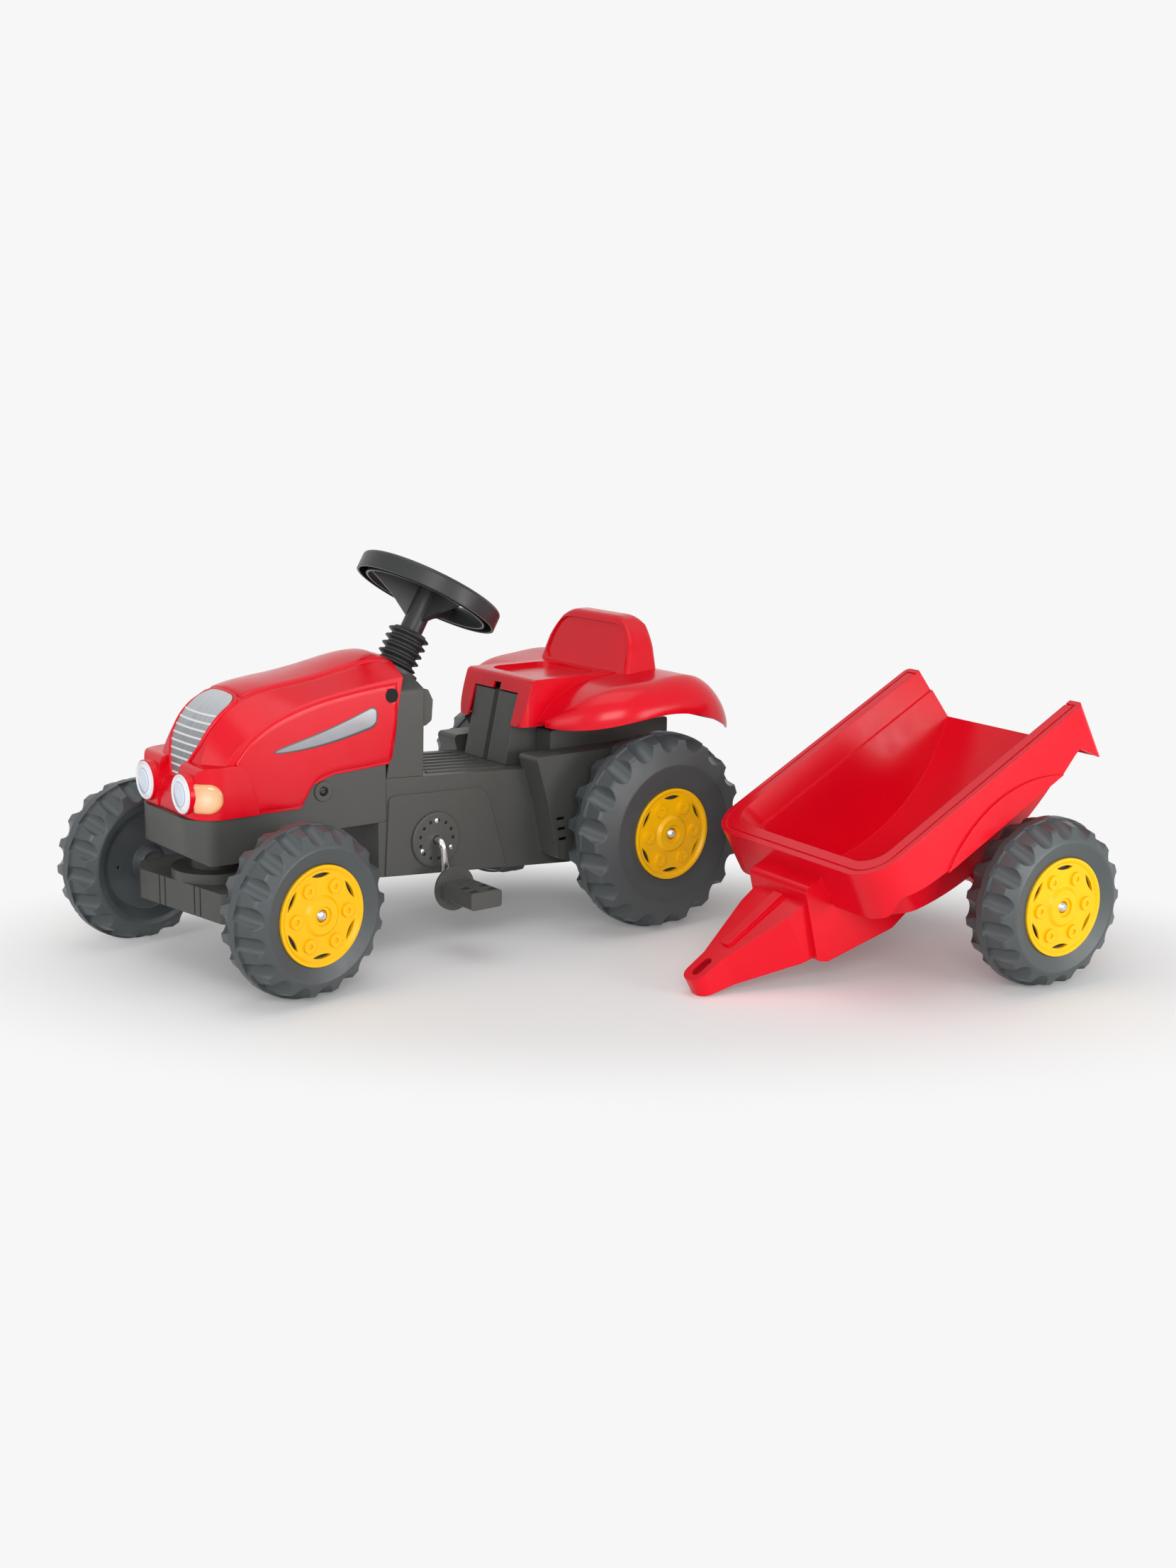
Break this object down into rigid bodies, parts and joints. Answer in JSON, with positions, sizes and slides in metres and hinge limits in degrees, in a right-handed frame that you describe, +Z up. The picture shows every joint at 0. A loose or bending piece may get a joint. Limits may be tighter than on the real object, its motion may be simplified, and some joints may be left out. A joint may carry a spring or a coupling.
{
  "type": "ride-on pedal tractor",
  "caption": "Child's ride-on pedal tractor with steered front axle, pedal crank and chain drive, shown beside a tipping trailer with a slotted drawbar.",
  "frame": {"origin": "on the floor under the middle of the tractor's rear axle", "axes": "+X forwards, +Y to the driver's left, +Z up"},
  "size_m": [1.0511, 0.914, 0.5041],
  "materials": {
    "red_plastic": "moulded, satin gloss",
    "black_plastic": "moulded, fine grain",
    "tyre_plastic": "blow-moulded, satin",
    "yellow_plastic": "moulded, gloss",
    "steel": "plain steel",
    "silver_trim": "silver foil",
    "clear_lens": "pearl lens",
    "amber_lens": "amber lens",
    "bellows_rubber": "soft ribbed"
  },
  "bodies": {
    "chassis": {"chassis_tub": "black_plastic", "bottom_cover": "black_plastic", "front_frame": "black_plastic", "dash_cowl": "black_plastic", "seat_column": "black_plastic", "hood": "red_plastic", "grille_panel": "silver_trim", "headlight_left": "clear_lens", "headlight_right": "clear_lens", "indicator_left": "amber_lens", "indicator_right": "amber_lens", "hood_plug_left": "black_plastic", "hood_plug_right": "black_plastic", "seat_shell": "red_plastic", "crank_cover_left": "black_plastic", "crank_cover_right": "black_plastic", "crank_bushes": "black_plastic", "rear_axle_bushes": "black_plastic", "steering_collar": "black_plastic", "bellows": "bellows_rubber", "kingpin": "steel", "hitch_bracket": "black_plastic", "hitch_pin": "steel", "chain": "steel"},
    "front_axle": {"axle_beam": "black_plastic", "front_axle_rod": "steel", "front_axle_caps": "steel"},
    "front_left_wheel": {"front_left_tyre": "tyre_plastic", "front_left_rim": "yellow_plastic"},
    "front_right_wheel": {"front_right_tyre": "tyre_plastic", "front_right_rim": "yellow_plastic"},
    "steering": {"steering_wheel": "black_plastic", "steering_cap": "black_plastic", "steering_rod": "steel"},
    "crank": {"crankshaft": "steel", "drive_sprocket": "steel"},
    "left_pedal": {"pedal_left": "black_plastic"},
    "right_pedal": {"pedal_right": "black_plastic"},
    "rear_axle": {"rear_axle_rod": "steel", "driven_sprocket": "steel", "rear_axle_caps": "steel", "rear_left_tyre": "tyre_plastic", "rear_left_rim": "yellow_plastic"},
    "rear_right_wheel": {"rear_right_tyre": "tyre_plastic", "rear_right_rim": "yellow_plastic"},
    "trailer_axle": {"trailer_axle_rod": "steel", "trailer_axle_caps": "steel"},
    "trailer_box": {"trailer_tub": "red_plastic"},
    "trailer_left_wheel": {"trailer_left_tyre": "tyre_plastic", "trailer_left_rim": "yellow_plastic"},
    "trailer_right_wheel": {"trailer_right_tyre": "tyre_plastic", "trailer_right_rim": "yellow_plastic"}
  },
  "joints": [
    {"name": "steer", "type": "hinge", "parent": "chassis", "child": "front_axle", "pos_m": [0.56, 0, 0.105], "axis": [0, 0, 1], "range_deg": [-26.8, 9.2]},
    {"name": "steering_turn", "type": "hinge", "parent": "chassis", "child": "steering", "pos_m": [0.246, 0, 0.447], "axis": [-0.5, 0, 0.866], "range_deg": [-98.44, 33.79]},
    {"name": "front_left_spin", "type": "hinge", "parent": "front_axle", "child": "front_left_wheel", "pos_m": [0.56, 0, 0.105], "axis": [-0.153, 0.9882, 0], "continuous": true},
    {"name": "front_right_spin", "type": "hinge", "parent": "front_axle", "child": "front_right_wheel", "pos_m": [0.56, 0, 0.105], "axis": [-0.153, 0.9882, 0], "continuous": true},
    {"name": "rear_axle_spin", "type": "hinge", "parent": "chassis", "child": "rear_axle", "pos_m": [0, 0, 0.132], "axis": [0, 1, 0], "continuous": true, "deforming": ["chain"]},
    {"name": "crank_turn", "type": "hinge", "parent": "chassis", "child": "crank", "pos_m": [0.29188, 0, 0.14], "axis": [0, 1, 0], "continuous": true},
    {"name": "left_pedal_spin", "type": "hinge", "parent": "crank", "child": "left_pedal", "pos_m": [0.28582, 0.15, 0.08232], "axis": [0, 1, 0], "continuous": true},
    {"name": "right_pedal_spin", "type": "hinge", "parent": "crank", "child": "right_pedal", "pos_m": [0.29794, -0.15, 0.19768], "axis": [0, 1, 0], "continuous": true},
    {"name": "rear_right_spin", "type": "hinge", "parent": "rear_axle", "child": "rear_right_wheel", "pos_m": [0, 0, 0.132], "axis": [0, 1, 0], "continuous": true},
    {"name": "trailer_roll", "type": "slide", "parent": "chassis", "child": "trailer_axle", "axis": [0.9953, -0.0969, 0], "range_m": [-0.5, 0.2]},
    {"name": "trailer_tip", "type": "hinge", "parent": "trailer_axle", "child": "trailer_box", "pos_m": [-0.238, 0.474, 0.105], "axis": [-0.0969, -0.9953, 0], "range_deg": [0, 80]},
    {"name": "trailer_left_spin", "type": "hinge", "parent": "trailer_axle", "child": "trailer_left_wheel", "pos_m": [-0.238, 0.474, 0.105], "axis": [0.0969, 0.9953, 0], "continuous": true},
    {"name": "trailer_right_spin", "type": "hinge", "parent": "trailer_axle", "child": "trailer_right_wheel", "pos_m": [-0.238, 0.474, 0.105], "axis": [0.0969, 0.9953, 0], "continuous": true}
  ],
  "couplings": [
    {"joint": "steering_turn", "follows": "steer", "ratio": 3.673},
    {"joint": "crank_turn", "follows": "rear_axle_spin", "ratio": 0.77778}
  ]
}
